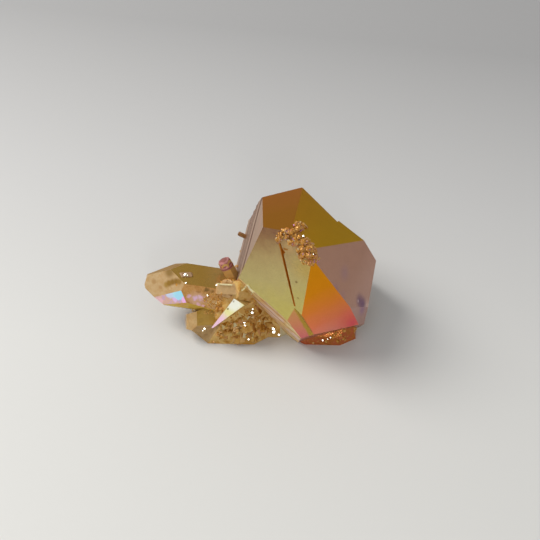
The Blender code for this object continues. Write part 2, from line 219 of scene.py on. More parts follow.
def crystal_frame(crystal):
    """The turn and place of a crystal, in millimetres: its z is its long axis, its y is nearest to up."""
    spot, axis, up = crystal
    z = axis.normalized()
    y = (up - z * up.dot(z)).normalized()
    x = y.cross(z)
    return Matrix.Translation(spot) @ Matrix((x, y, z)).transposed().to_4x4()


def start_clean():
    """Leaves edit mode and deselects everything, because an operator acts on all that is selected."""
    if bpy.context.object and bpy.context.object.mode != "OBJECT":
        bpy.ops.object.mode_set(mode="OBJECT")
    bpy.ops.object.select_all(action="DESELECT")


def pick(piece):
    """Makes one object the only selected and active one."""
    start_clean()
    piece.select_set(True)
    bpy.context.view_layer.objects.active = piece


def settle(piece, name):
    """Puts a finished piece's place into its mesh, and ties it to the cluster."""
    pick(piece)
    bpy.ops.object.transform_apply(location=True, rotation=True, scale=True)
    piece.name = name
    piece.data.name = name
    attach(piece, BODY)


class Shades:
    """Adds the nodes of one material, so that each finish reads as a short list of steps."""

    def __init__(self, name):
        self.material = bpy.data.materials.new(name)
        self.material.use_nodes = True
        self.tree = self.material.node_tree
        self.shader = self.tree.nodes["Principled BSDF"]
        self.output = self.tree.nodes["Material Output"]
        self.place = self.add("ShaderNodeTexCoord").outputs["Object"]

    def add(self, kind, **values):
        """A node of one kind, with its settings."""
        node = self.tree.nodes.new(kind)
        for key, value in values.items():
            setattr(node, key, value)
        return node

    def link(self, source, target):
        """Joins an output to an input."""
        self.tree.links.new(source, target)

    def feed(self, socket, value):
        """Gives an input a plain value, or joins it to an output."""
        if isinstance(value, bpy.types.NodeSocket):
            self.link(value, socket)
        else:
            socket.default_value = value

    def math(self, operation, first, second=0.0):
        """One sum on two values, each a number or an output."""
        node = self.add("ShaderNodeMath", operation=operation)
        self.feed(node.inputs[0], first)
        self.feed(node.inputs[1], second)
        return node.outputs[0]

    def vector(self, operation, first, second):
        """The node of one sum on two vectors, each a plain one or an output."""
        node = self.add("ShaderNodeVectorMath", operation=operation)
        self.feed(node.inputs[0], first)
        self.feed(node.inputs[1], second)
        return node

    def texture(self, kind, size, values):
        """The node of one texture on the object's own place, with features of a size in millimetres."""
        node = self.add(kind)
        self.link(self.place, node.inputs["Vector"])
        node.inputs["Scale"].default_value = 1.0 / (size * MM)
        for name, value in values.items():
            node.inputs[name].default_value = value
        return node

    def along(self, start, end):
        """How far a point is between two planes, 0 at the start and 1 at the end, in millimetres."""
        way = end - start
        shift = self.vector("SUBTRACT", self.place, start * MM).outputs["Vector"]
        return self.vector("DOT_PRODUCT", shift, way / (way.length_squared * MM)).outputs["Value"]

    def near(self, spot, radius, edge=1.0):
        """1 at a spot and 0 past its radius, softly."""
        away = self.vector("DISTANCE", self.place, spot * MM).outputs["Value"]
        return self.spread(away, 0.0, 1.0, radius * MM, radius * (1.0 - edge) * MM, "SMOOTHSTEP")

    def stroke(self, start, end, out, width):
        """1 inside a thin straight stroke on a face that looks out, and 0 beside it, with a worn edge."""
        start, end = Vector(start), Vector(end)
        side = (end - start).cross(out).normalized()
        across = self.math("ABSOLUTE", self.along(start, start + side))
        across = self.math("ADD", across, self.math("MULTIPLY", self.noise(0.5), width * 0.4))
        share = self.spread(across, 0.0, 1.0, width * 0.80, width * 0.60)
        length = self.along(start, end)
        past_start = self.math("GREATER_THAN", length, 0.0)
        before_end = self.math("LESS_THAN", length, 1.0)
        return self.math("MULTIPLY", share, self.math("MULTIPLY", past_start, before_end))

    def noise(self, size, detail=3.0, roughness=0.55, distortion=0.0, output="Fac"):
        """Soft noise from 0 to 1, with features of a size in millimetres."""
        values = {"Detail": detail, "Roughness": roughness, "Distortion": distortion}
        return self.texture("ShaderNodeTexNoise", size, values).outputs[output]

    def wander(self, size, reach):
        """Moves every point a little, so that the edges of all that follows are wavy."""
        shift = self.noise(size, detail=2.0, roughness=0.5, output="Color")
        centred = self.vector("SUBTRACT", shift, (0.5, 0.5, 0.5)).outputs["Vector"]
        scaled = self.add("ShaderNodeVectorMath", operation="SCALE")
        self.link(centred, scaled.inputs[0])
        scaled.inputs["Scale"].default_value = reach * 2.0 * MM
        self.place = self.vector("ADD", self.place, scaled.outputs["Vector"]).outputs["Vector"]

    def lines(self, axis, spacing, warp=0.6):
        """Growth lines across an axis: noise that changes along it alone, apart from a slow warp."""
        height = self.along(Vector((0.0, 0.0, 0.0)), axis * spacing)
        slow = self.noise(6.0, detail=2.0)
        height = self.math("ADD", height, self.math("MULTIPLY", slow, warp))
        flat = self.add("ShaderNodeCombineXYZ")
        self.link(height, flat.inputs["X"])
        band = self.add("ShaderNodeTexNoise")
        for name, value in (("Scale", 1.0), ("Detail", 4.0), ("Roughness", 0.7)):
            band.inputs[name].default_value = value
        self.link(flat.outputs["Vector"], band.inputs["Vector"])
        return band.outputs["Fac"]

    def cells(self, size):
        """Cells of a size in millimetres, each with its own colour."""
        return self.texture("ShaderNodeTexVoronoi", size, {}).outputs["Color"]

    def ramp(self, value, stops):
        """Colours along a value: (position, (red, green, blue)) from 0 to 255."""
        node = self.add("ShaderNodeValToRGB")
        self.link(value, node.inputs["Fac"])
        colours = node.color_ramp.elements
        while len(colours) < len(stops):
            colours.new(1.0)
        for element, (position, colour) in zip(colours, stops):
            element.position = position
            element.color = rgb(*colour)
        return node.outputs["Color"]

    def blend(self, share, first, second, kind="MIX"):
        """A mix of two colours, each an output or (red, green, blue)."""
        node = self.add("ShaderNodeMix", data_type="RGBA", blend_type=kind, clamp_factor=True)
        self.feed(node.inputs[0], share)
        for socket, colour in ((node.inputs[6], first), (node.inputs[7], second)):
            self.feed(socket, rgb(*colour) if isinstance(colour, tuple) else colour)
        return node.outputs[2]

    def spots(self, colour, spots, edge=1.0):
        """Adds soft round spots of other colours: (place, radius, colour, strength)."""
        for spot, radius, tone, strength in spots:
            share = self.math("MULTIPLY", self.near(Vector(spot), radius, edge), strength)
            colour = self.blend(share, colour, tone)
        return colour

    def spread(self, value, low, high, start=0.0, end=1.0, kind="LINEAR"):
        """Turns start to end into low to high, and holds what lies beyond."""
        node = self.add("ShaderNodeMapRange", interpolation_type=kind)
        self.link(value, node.inputs["Value"])
        for name, number in (("From Min", start), ("From Max", end), ("To Min", low), ("To Max", high)):
            node.inputs[name].default_value = number
        return node.outputs["Result"]

    def bump(self, height, depth, base=None):
        """Relief of a depth in millimetres, on top of other relief if given."""
        node = self.add("ShaderNodeBump")
        node.inputs["Distance"].default_value = depth * MM
        self.link(height, node.inputs["Height"])
        if base is not None:
            self.link(base, node.inputs["Normal"])
        return node.outputs["Normal"]

    def finish(self, colour, roughness, normal, clear, metal=0.0, gloss=0.5, edge=(255, 255, 255)):
        """Sets the shader: colour, roughness and relief from nodes, and plain values for the rest."""
        for name, source in (("Base Color", colour), ("Roughness", roughness), ("Normal", normal)):
            self.link(source, self.shader.inputs[name])
        for name, value in (("Metallic", metal), ("Transmission Weight", clear), ("IOR", QUARTZ_IOR),
                            ("Specular IOR Level", gloss), ("Specular Tint", rgb(*edge))):
            self.shader.inputs[name].default_value = value
        return self.material

    def quartz(self, colour, patches, rough, normal, clear, metal, gloss, edge=(255, 255, 255)):
        """Sets the shader of quartz that is rougher in some patches and absorbs light inside."""
        inside = self.add("ShaderNodeVolumeAbsorption")
        inside.inputs["Color"].default_value = rgb(*AMBER)
        inside.inputs["Density"].default_value = DENSITY
        self.link(inside.outputs["Volume"], self.output.inputs["Volume"])
        return self.finish(colour, self.spread(patches, *rough), normal, clear, metal, gloss, edge)


def flat_face(name):
    """The crystal, turn, slope and reach of the first flat face with this finish."""
    for finish, crystal, around, slope, reach, slack in FLATS:
        if finish == name:
            return crystal, around, slope, reach
    raise RuntimeError(f"no flat face has the finish {name}")


def outward(name):
    """The way that the first flat face with this finish looks."""
    crystal, around, slope, reach = flat_face(name)
    return crystal_frame(crystal).to_3x3() @ face_direction(around, slope)


def coated_face(name, start, end, stops, spots=(), strokes=(), clear=0.5, metal=0.62, rough=(0.16, 0.27),
                mottle=0.08, swirl=0.0, gloss=0.2, grain=0.35, edge=(255, 255, 255)):
    """A big face with an aura coat: colours that drift from start to end, with spots of other colours."""
    shades = Shades(name)
    drift = shades.along(Vector(start), Vector(end))
    cloud = shades.math("SUBTRACT", shades.noise(3.2, detail=4.0, distortion=0.6), 0.5)
    drift = shades.math("ADD", drift, shades.math("MULTIPLY", cloud, mottle * 2.0))
    colour = shades.spots(shades.ramp(drift, stops), spots)
    speck = shades.noise(0.5, detail=5.0, roughness=0.7)
    shade = shades.ramp(speck, [(0.25, (216, 216, 216)), (0.75, (255, 255, 255))])
    colour = shades.blend(grain, colour, shade, "MULTIPLY")
    for first, last, width, tone in strokes:
        colour = shades.blend(shades.stroke(first, last, outward(name), width), colour, tone)
    normal = shades.bump(shades.noise(0.3, detail=3.0, roughness=0.6), 0.0025)
    normal = shades.bump(shades.noise(2.6, detail=2.0, distortion=0.5), 0.010, normal)
    if swirl:
        rings = shades.noise(4.5, detail=1.0, distortion=2.2)
        wave = shades.math("SINE", shades.math("MULTIPLY", rings, 40.0))
        normal = shades.bump(wave, swirl, normal)
    return shades.quartz(colour, shades.noise(1.6, detail=4.0), rough, normal, clear, metal, gloss, edge)


def ledge_stops(width):
    """Ramp stops that are white at each growth ledge and black between them."""
    stops = [(0.0, (0, 0, 0))]
    for height in LEDGES:
        place = (height - LEDGE_LOW) / (LEDGE_HIGH - LEDGE_LOW)
        half = width / 2 / (LEDGE_HIGH - LEDGE_LOW)
        stops.append((place - half * 1.1, (0, 0, 0)))
        stops.append((place - half, (255, 255, 255)))
        stops.append((place + half * 0.7, (255, 255, 255)))
        stops.append((place + half * 1.2, (0, 0, 0)))
    return stops


def prism_side(name, tones, groove, clear=0.4, metal=0.4, rough=(0.18, 0.32), lines=0.5, gloss=0.3,
               edge=(255, 255, 255), width=0.5):
    """A prism face: three slow tints, fine growth lines across the axis, and a dark groove at each ledge."""
    shades = Shades(name)
    pale, mid, drift = tones
    cloud = shades.noise(6.0, detail=2.5, distortion=0.7)
    colour = shades.ramp(cloud, [(0.36, pale), (0.5, mid), (0.64, drift)])
    fine = shades.lines(BIG_AXIS, 0.40, warp=0.12)
    tone = shades.ramp(fine, [(0.34, (190, 178, 168)), (0.48, (255, 255, 255)), (0.68, (228, 222, 216))])
    colour = shades.blend(lines, colour, tone, "MULTIPLY")
    height = shades.along(BIG[0] + BIG_AXIS * LEDGE_LOW, BIG[0] + BIG_AXIS * LEDGE_HIGH)
    mask = shades.ramp(height, ledge_stops(width))
    bundle = shades.lines(BIG_AXIS, 0.22, warp=0.25)
    bundle = shades.ramp(bundle, [(0.36, (150, 150, 150)), (0.46, (255, 255, 255))])
    groove_share = shades.math("MULTIPLY", mask, bundle)
    colour = shades.blend(groove_share, colour, groove)
    normal = shades.bump(fine, 0.025)
    normal = shades.bump(shades.math("SUBTRACT", 1.0, groove_share), 0.05, normal)
    normal = shades.bump(shades.noise(0.3, detail=3.0), 0.003, normal)
    return shades.quartz(colour, shades.noise(1.2, detail=4.0), rough, normal, clear, metal, gloss, edge)


def clear_quartz(name, stops, clear=0.6, size=1.6, rough=(0.08, 0.2), depth=0.02, metal=0.0, chips=0.4,
                 spots=(), gloss=0.5, edge=(255, 216, 150)):
    """See-through quartz with clouds inside and small chips on its surface."""
    shades = Shades(name)
    cloud = shades.noise(size, detail=4.0, distortion=0.8)
    colour = shades.spots(shades.ramp(cloud, stops), spots)
    tone = shades.ramp(shades.cells(size * 0.4), [(0.0, (190, 184, 176)), (1.0, (255, 255, 255))])
    colour = shades.blend(chips, colour, tone, "MULTIPLY")
    normal = shades.bump(shades.noise(size * 0.35, detail=3.0, distortion=0.4), depth)
    return shades.quartz(colour, shades.noise(size * 0.8), rough, normal, clear, metal, gloss, edge)


def ribbed_cap(name, dark, pale, spots):
    """The sprout's rounded cap: a pink coat with fine rings across its axis."""
    shades = Shades(name)
    height = shades.along(SPROUT[0], SPROUT[0] + SPROUT[1].normalized())
    wave = shades.math("SINE", shades.math("MULTIPLY", height, 11.0))
    rings = shades.math("MULTIPLY", shades.math("ADD", wave, 1.0), 0.5)
    colour = shades.spots(shades.ramp(rings, [(0.15, dark), (0.6, pale)]), spots)
    normal = shades.bump(wave, 0.02)
    return shades.quartz(colour, shades.noise(0.6), (0.14, 0.26), normal, 0.2, 0.2, 0.4, pale)


def patched_coat(name, ground, spots, clear=0.3, metal=0.5, rough=(0.12, 0.24), edge=0.5, depth=0.010,
                 wobble=0.5):
    """A facet whose coat shows several bright colours beside each other, in spots with wavy edges."""
    shades = Shades(name)
    shades.wander(0.7, wobble)
    colour = shades.ramp(shades.noise(1.1, detail=2.0, distortion=0.8), ground)
    colour = shades.spots(colour, spots, edge)
    normal = shades.bump(shades.noise(0.35, detail=3.0), depth)
    return shades.quartz(colour, shades.noise(0.9), rough, normal, clear, metal, 0.4)


def druse_finish(name, stops, clear, metal, gloss=0.4, rough=(0.10, 0.24), edge=(255, 220, 160)):
    """Small crystals, each facet with its own tint from the ramp: the coat's colours, and at its pale end
    painted glints.
    """
    shades = Shades(name)
    tint = shades.add("ShaderNodeAttribute", attribute_type="GEOMETRY", attribute_name="tint")
    colour = shades.ramp(tint.outputs["Fac"], stops)
    tone = shades.ramp(shades.noise(0.9, detail=3.0), [(0.2, (206, 200, 192)), (0.8, (255, 255, 255))])
    colour = shades.blend(0.6, colour, tone, "MULTIPLY")
    normal = shades.bump(shades.noise(0.18, detail=2.0), 0.005)
    return shades.quartz(colour, shades.noise(0.5), rough, normal, clear, metal, gloss, edge)


def tip_finishes():
    """The big crystal's point: five coated faces, the small facets between them, and the crack."""
    return [
        coated_face(
            "tip_brown", (0.4, 3.5, 26.4), (3.0, -3.4, 28.8),
            [(0.0, (176, 118, 48)), (0.6, (174, 118, 40)), (1.0, (170, 118, 18))],
            metal=0.72, edge=(210, 150, 50)),
        coated_face(
            "tip_olive", (8.8, 5.0, 26.5), (19.5, 0.0, 19.1),
            [(0.0, (198, 146, 2)), (0.5, (206, 160, 2)), (1.0, (208, 166, 16))],
            metal=0.72, edge=(226, 184, 20)),
        coated_face(
            "tip_mauve", (13.7, -9.7, 23.7), (20.8, -10.8, 6.4),
            [(0.0, (202, 156, 132)), (0.5, (196, 152, 130)), (1.0, (208, 170, 154))],
            spots=[((14.7, -13.2, 17.6), 2.2, (180, 138, 144), 0.8),
                   ((17.0, -8.6, 17.6), 2.6, (182, 144, 148), 0.7),
                   ((16.2, -11.8, 14.6), 1.8, (184, 144, 148), 0.6),
                   ((20.8, -10.8, 6.0), 4.2, (255, 226, 216), 0.9),
                   ((22.4, -8.4, 5.6), 3.6, (255, 226, 216), 0.9),
                   ((20.4, -8.6, 9.6), 2.2, (132, 100, 124), 0.95),
                   ((21.2, -8.2, 8.2), 2.2, (126, 96, 132), 0.95),
                   ((20.9, -9.6, 7.8), 1.8, (140, 106, 132), 0.9),
                   ((20.1, -9.0, 9.9), 0.5, (240, 214, 216), 0.9)],
            edge=(240, 206, 196)),
        coated_face(
            "tip_orange", (11.0, -14.2, 24.0), (14.3, -13.9, 5.8),
            [(0.0, (230, 148, 2)), (0.3, (236, 148, 10)), (0.55, (244, 142, 56)), (0.8, (252, 140, 98)),
             (1.0, (255, 156, 136))],
            spots=[((18.8, -12.2, 7.6), 5.0, (255, 112, 100), 0.8),
                   ((19.0, -11.9, 6.4), 2.0, (255, 104, 116), 0.9)],
            edge=(255, 180, 120), clear=0.2, metal=0.5),
        coated_face(
            "tip_straw", (1.1, -8.9, 30.5), (6.0, -14.7, 12.8),
            [(0.0, (156, 108, 78)), (0.16, (180, 140, 94)), (0.35, (208, 182, 122)), (0.6, (220, 202, 134)),
             (1.0, (232, 216, 120))],
            spots=[((9.2, -14.6, 24.4), 5.0, (222, 186, 92), 0.7),
                   ((5.6, -11.8, 27.8), 2.4, (224, 186, 126), 0.8),
                   ((7.1, -14.0, 20.6), 0.45, (126, 84, 34), 0.9),
                   ((7.5, -14.8, 17.0), 0.35, (136, 92, 40), 0.8)],
            strokes=[((3.6, -10.6, 28.8), (6.9, -14.9, 14.7), 0.44, (184, 108, 14)),
                     ((4.6, -11.4, 27.1), (5.4, -11.9, 27.2), 0.36, (176, 112, 30))],
            swirl=0.010, mottle=0.16, grain=0.7),
        coated_face(
            "tip_corner", (19.0, -11.8, 9.0), (19.3, -11.8, 5.0),
            [(0.0, (198, 160, 148)), (1.0, (196, 158, 146))],
            spots=[((21.3, -9.2, 7.4), 1.8, (170, 132, 160), 0.9),
                   ((19.4, -11.8, 6.0), 1.2, (255, 120, 140), 0.7)],
            clear=0.15, metal=0.4, edge=(240, 206, 196)),
        coated_face(
            "pink_facet", (6.8, -14.9, 14.0), (9.2, -15.1, 5.7),
            [(0.0, (238, 176, 102)), (0.45, (240, 158, 110)), (1.0, (240, 130, 128))],
            strokes=[((7.1, -15.0, 15.0), (10.9, -15.2, 5.7), 1.5, (196, 158, 58))]),
        coated_face(
            "lime_riser", (6.8, -14.9, 14.0), (9.2, -15.1, 5.7),
            [(0.0, (222, 196, 80)), (0.5, (208, 168, 70)), (1.0, (196, 140, 76))]),
        coated_face(
            "step_olive", (9.0, 6.0, 26.0), (19.5, 0.0, 19.0),
            [(0.0, (166, 122, 36)), (1.0, (180, 138, 60))]),
        clear_quartz(
            "crack_brown", [(0.3, (178, 104, 24)), (0.7, (196, 124, 36))], clear=0.0, size=0.8, gloss=0.2),
    ]


def side_finishes():
    """The big crystal's prism faces, each with its tints and growth lines; the lower face's pale tints are
    partly painted light.
    """
    return [
        prism_side(
            "side_left", ((180, 153, 130), (168, 141, 120), (174, 141, 122)), (96, 58, 34), clear=0.15,
            metal=0.25, lines=0.6, gloss=0.05, edge=(170, 140, 120), rough=(0.3, 0.42), width=1.4),
        # The lower face's tints are pushed near white, past its own tan, to paint the light that shines
        # through it where it lies in shade.
        prism_side(
            "side_low", ((255, 232, 174), (240, 196, 128), (248, 218, 202)), (200, 142, 78), clear=0.15,
            metal=0.0, lines=0.8, gloss=0.15, edge=(255, 220, 160)),
        prism_side(
            "side_front", ((226, 166, 140), (214, 148, 118), (232, 138, 120)), (160, 100, 60), metal=0.45),
        prism_side(
            "side_right", ((196, 156, 84), (184, 140, 66), (200, 124, 62)), (120, 76, 30), metal=0.5),
        prism_side(
            "side_back_right", ((206, 152, 104), (192, 130, 86), (208, 114, 94)), (130, 76, 42), metal=0.5),
        prism_side(
            "side_back", ((190, 154, 112), (178, 138, 88), (170, 130, 128)), (118, 76, 38), metal=0.5),
    ]


def second_finishes():
    """The lying crystal: olive top, tan tip with a rainbow facet, and an amber front with pink patches."""
    return [
        coated_face(
            "second_top", (-20.6, -5.0, 13.4), (-8.4, -2.5, 12.4),
            [(0.0, (206, 166, 90)), (0.25, (200, 158, 66)), (0.7, (198, 154, 62)), (1.0, (206, 164, 88))],
            spots=[((-19.0, -5.6, 13.0), 1.8, (216, 176, 120), 0.7)], metal=0.3, clear=0.55),
        coated_face(
            "second_slope", (-20.6, -5.0, 13.4), (-8.4, -2.5, 12.4),
            [(0.0, (164, 124, 58)), (0.3, (152, 112, 40)), (1.0, (148, 108, 36))],
            clear=0.2, metal=0.1, edge=(170, 120, 40), gloss=0.05, rough=(0.35, 0.5)),
        patched_coat(
            "second_shoulder", [(0.35, (212, 170, 110)), (0.65, (224, 188, 134))],
            [((-19.6, -4.9, 10.5), 0.9, (180, 138, 44), 0.9),
             ((-18.9, -5.0, 11.0), 1.0, (166, 122, 26), 1.0),
             ((-18.1, -5.1, 11.5), 1.0, (158, 114, 22), 1.0),
             ((-17.3, -5.4, 12.0), 1.0, (158, 114, 22), 1.0),
             ((-16.6, -5.8, 12.3), 0.9, (170, 124, 30), 0.95),
             # A painted highlight just under the olive arc of the fracture.
             ((-17.2, -5.9, 11.5), 0.4, (226, 156, 46), 0.9),
             ((-22.4, -3.3, 9.8), 0.9, (196, 150, 88), 0.8),
             ((-20.8, -4.6, 9.4), 0.7, (196, 146, 84), 0.7),
             ((-18.6, -3.3, 12.7), 1.8, (156, 118, 44), 0.9)],
            clear=0.35, metal=0.1, edge=0.7, wobble=0.15),
        patched_coat(
            "second_front", [(0.35, (206, 142, 62)), (0.55, (226, 168, 90)), (0.7, (214, 152, 68))],
            [((-13.2, -7.8, 9.3), 2.4, (240, 192, 152), 0.8),
             ((-14.7, -7.6, 9.9), 0.6, (255, 200, 226), 0.9),
             ((-13.4, -7.8, 9.5), 0.8, (255, 208, 240), 1.0),
             ((-12.3, -7.7, 9.6), 0.8, (255, 212, 232), 1.0),
             ((-11.6, -7.9, 9.3), 0.7, (255, 198, 212), 0.9),
             ((-12.9, -8.4, 8.0), 0.7, (255, 198, 216), 0.9),
             ((-11.9, -8.6, 7.7), 0.6, (255, 200, 208), 0.9),
             ((-14.9, -8.3, 8.1), 1.2, (186, 124, 44), 0.8),
             ((-10.2, -8.2, 8.4), 1.7, (240, 194, 126), 0.85),
             # Dark olive spots at the front's small pits: painted shade where the pits lie in shadow.
             ((-10.9, -7.2, 11.2), 0.8, (140, 100, 26), 0.95),
             ((-9.9, -7.3, 11.0), 0.7, (150, 108, 34), 0.9),
             ((-10.6, -7.7, 10.0), 0.6, (156, 112, 40), 0.8),
             ((-12.6, -7.3, 10.9), 0.5, (176, 122, 50), 0.8)],
            clear=0.3, metal=0.1, edge=0.7, wobble=0.6),
        clear_quartz("second_low", [(0.3, (206, 164, 88)), (0.7, (224, 190, 124))], clear=0.55),
        clear_quartz("second_side", [(0.3, (200, 158, 86)), (0.7, (222, 180, 116))], clear=0.5, metal=0.15),
        patched_coat(
            "second_rainbow", [(0.35, (220, 176, 180)), (0.5, (226, 182, 150)), (0.65, (208, 170, 204))],
            [((-17.6, -6.9, 10.0), 1.9, (180, 240, 255), 1.0),
             ((-16.3, -7.2, 10.4), 1.5, (166, 236, 255), 1.0),
             ((-16.9, -7.3, 9.4), 1.1, (176, 232, 255), 1.0),
             ((-18.9, -6.4, 9.3), 1.3, (206, 226, 255), 0.85),
             ((-17.8, -7.2, 8.3), 0.7, (236, 196, 244), 0.9),
             ((-15.6, -7.8, 9.0), 1.0, (255, 190, 250), 0.95),
             ((-21.1, -6.0, 6.8), 1.0, (246, 196, 208), 0.7)],
            clear=0.0, metal=0.2, edge=0.4, wobble=0.5),
        clear_quartz(
            "second_lime", [(0.3, (228, 188, 70)), (0.7, (238, 204, 104))], clear=0.2,
            spots=[((-16.5, -8.3, 7.6), 1.8, (226, 160, 92), 0.9)], gloss=0.15, edge=(240, 196, 90)),
        clear_quartz(
            "second_tip", [(0.3, (214, 170, 110)), (0.55, (226, 186, 132)), (0.8, (230, 190, 160))],
            clear=0.5, metal=0.1),
        clear_quartz(
            "bump_tan", [(0.3, (206, 162, 120)), (0.7, (226, 190, 156))], clear=0.4, metal=0.2, size=0.8),
    ]


def small_finishes():
    """The blade, the corner crystal, the square crystal, the sprout and the stub."""
    return [
        # The pale yellow ground and the near-white spot near the top paint the blade's bright reflection; its
        # pink spots and dark dots are its own.
        patched_coat(
            "blade_bright", [(0.3, (246, 238, 160)), (0.7, (250, 244, 182))],
            [((-5.4, -10.9, 11.0), 2.3, (255, 255, 236), 1.0),
             ((-8.6, -11.4, 6.0), 3.5, (255, 210, 230), 1.0),
             ((-10.1, -11.0, 4.2), 0.9, (250, 150, 200), 0.9),
             ((-5.5, -10.6, 11.4), 0.42, (120, 84, 30), 1.0),
             ((-5.0, -10.4, 10.6), 0.34, (130, 96, 40), 1.0),
             ((-6.6, -10.9, 9.6), 0.30, (140, 110, 60), 1.0),
             ((-7.0, -11.0, 8.6), 0.26, (140, 110, 60), 0.9)],
            clear=0.05, metal=0.35, edge=0.6, depth=0.008, wobble=0.3),
        clear_quartz("blade_side", [(0.3, (214, 176, 96)), (0.7, (234, 206, 140))], clear=0.4, metal=0.1),
        clear_quartz(
            "corner_window", [(0.3, (206, 160, 66)), (0.7, (220, 178, 92))], clear=0.4, size=2.4,
            depth=0.006, metal=0.15),
        clear_quartz("corner_clear", [(0.3, (206, 162, 104)), (0.7, (224, 188, 132))], clear=0.35),
        clear_quartz("square_grey", [(0.3, (230, 184, 124)), (0.7, (242, 204, 150))], clear=0.3, depth=0.006),
        ribbed_cap(
            "sprout_cap", (156, 96, 88), (200, 138, 132), [((-4.9, -3.6, 14.8), 1.3, (236, 150, 50), 0.9)]),
        clear_quartz("sprout_amber", [(0.3, (244, 190, 104)), (0.7, (252, 208, 134))], clear=0.3),
        clear_quartz("stub_brown", [(0.3, (150, 96, 50)), (0.7, (184, 132, 80))], clear=0.4, size=0.6),
    ]


def root_finishes():
    """The root, its druse and its orange foot, the underside, and the small pieces that scene.py adds."""
    return [
        clear_quartz(
            "broken_root", [(0.30, (176, 114, 42)), (0.42, (234, 174, 84)), (0.54, (254, 212, 130)),
                            (0.66, (244, 188, 118)), (0.76, (200, 140, 70))],
            clear=0.35, size=2.4, depth=0.03, chips=0.3),
        clear_quartz(
            "orange_root", [(0.3, (196, 104, 40)), (0.45, (216, 130, 56)), (0.6, (214, 92, 66)),
                            (0.72, (240, 206, 96))],
            clear=0.35, size=1.0, depth=0.03, metal=0.2),
        # The palest tints at the end of the tip and root druse ramps paint glints on some facets, beside the
        # coat's own tints.
        druse_finish(
            "tip_druse", [(0.0, (206, 136, 52)), (0.35, (224, 160, 72)), (0.62, (236, 182, 98)),
                          (0.82, (224, 152, 100)), (0.89, (198, 136, 224)), (0.92, (248, 206, 124)),
                          (1.0, (255, 248, 216))],
            clear=0.35, metal=0.22, rough=(0.18, 0.34)),
        druse_finish(
            "root_druse", [(0.0, (178, 112, 34)), (0.25, (224, 160, 66)), (0.6, (248, 198, 108)),
                           (0.80, (236, 168, 106)), (0.90, (252, 222, 140)), (1.0, (255, 242, 200))],
            clear=0.35, metal=0.0, gloss=0.3),
        # Near-white facets: partly a painted highlight, on top of the lamp that each facet mirrors.
        druse_finish("glint_facet", [(0.0, (255, 250, 226)), (1.0, (255, 255, 248))], clear=0.2, metal=0.4),
        # The raised edges' pale colour is a painted highlight along the edges.
        clear_quartz(
            "painted_highlight_edge", [(0.3, (250, 240, 176)), (0.7, (255, 250, 210))], clear=0.1, size=0.5,
            depth=0.004, metal=0.2),
        clear_quartz(
            "underside", [(0.3, (206, 164, 104)), (0.7, (226, 202, 158))], clear=0.4, size=1.8,
            rough=(0.35, 0.6), depth=0.12),
    ]


def make_finishes():
    """Every finish of the cluster, by name."""
    finishes = tip_finishes() + side_finishes() + second_finishes() + small_finishes() + root_finishes()
    return {material.name: material for material in finishes}


def facet_tint(normal, centre):
    """A steady random value from 0 to 1 for a facet, from the way it looks and its height."""
    key = (round(normal.x, 1), round(normal.y, 1), round(normal.z, 1), round(centre.z * 600))
    return random.Random(str(key)).random()


def finish_of_face(face, frames):
    """The name of the finish for one face of the cluster, by the crystal and the plane that it lies on."""
    centre = face.calc_center_median() / MM
    if centre.z < UNDERSIDE and face.normal.z < -0.9:
        return "underside"
    limit = math.cos(math.radians(FLAT_TURN))
    for name, crystal, around, slope, reach, slack in FLATS:
        place, turn = frames[id(crystal)]
        out = face_direction(around, slope)
        own = place @ centre
        looks = turn @ face.normal
        if abs(looks.dot(out)) > limit and abs(own.dot(out) - reach) < slack:
            return name
    crystal, around, slope, reach = flat_face("tip_straw")
    place, turn = frames[id(crystal)]
    own = place @ centre
    depth = reach - own.dot(face_direction(around, slope))
    if CRACK_SKIN < depth < CRACK_REACH and own.x < CRACK_SIDE and own.z > CRACK_FOOT:
        return "crack_brown"
    if own.z > TIP_HEIGHT:
        return "tip_druse"
    for name, crystal, radius, low, high in REGIONS:
        place, turn = frames[id(crystal)]
        own = place @ centre
        if low < own.z < high and math.hypot(own.x, own.y) < radius:
            return name
    if centre.x > FOOT_START:
        return "orange_root" if centre.y < -4.0 else "broken_root"
    return "root_druse" if face.calc_area() < 3.0 * MM * MM else "broken_root"


class AURA_OT_crystals(bpy.types.Operator):
    """Copy the solid cluster and give every crystal face its own coat"""
    bl_idname = "aura.crystals"
    bl_label = "Crystals"

    def execute(self, context):
        crystals = bpy.data.objects.new("crystals", CLUSTER.data.copy())
        context.scene.collection.objects.link(crystals)
        pick(crystals)
        bpy.ops.object.mode_set(mode="EDIT")
        bpy.ops.mesh.select_all(action="SELECT")
        bpy.ops.mesh.remove_doubles(threshold=0.002 * MM)
        bpy.ops.mesh.customdata_custom_splitnormals_clear()
        bpy.ops.mesh.dissolve_limited(angle_limit=math.radians(0.25))
        bpy.ops.mesh.faces_shade_flat()
        bpy.ops.object.mode_set(mode="OBJECT")
        self.give_finishes(crystals)
        settle(crystals, "crystals")
        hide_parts("quartz_cluster")
        return {"FINISHED"}

    def give_finishes(self, crystals):
        """Sorts the faces by crystal and plane, and gives each its finish and its tint."""
        finishes = make_finishes()
        crystals.data.materials.clear()
        slots = {}
        for name, material in finishes.items():
            slots[name] = len(slots)
            crystals.data.materials.append(material)
        frames = {}
        for crystal in CRYSTALS:
            place = crystal_frame(crystal).inverted()
            frames[id(crystal)] = (place, place.to_3x3())
        shape = bmesh.new()
        shape.from_mesh(crystals.data)
        tint = shape.faces.layers.float.new("tint")
        for face in shape.faces:
            name = finish_of_face(face, frames)
            face.material_index = slots[name]
            face[tint] = facet_tint(face.normal, face.calc_center_median())
        shape.to_mesh(crystals.data)
        shape.free()


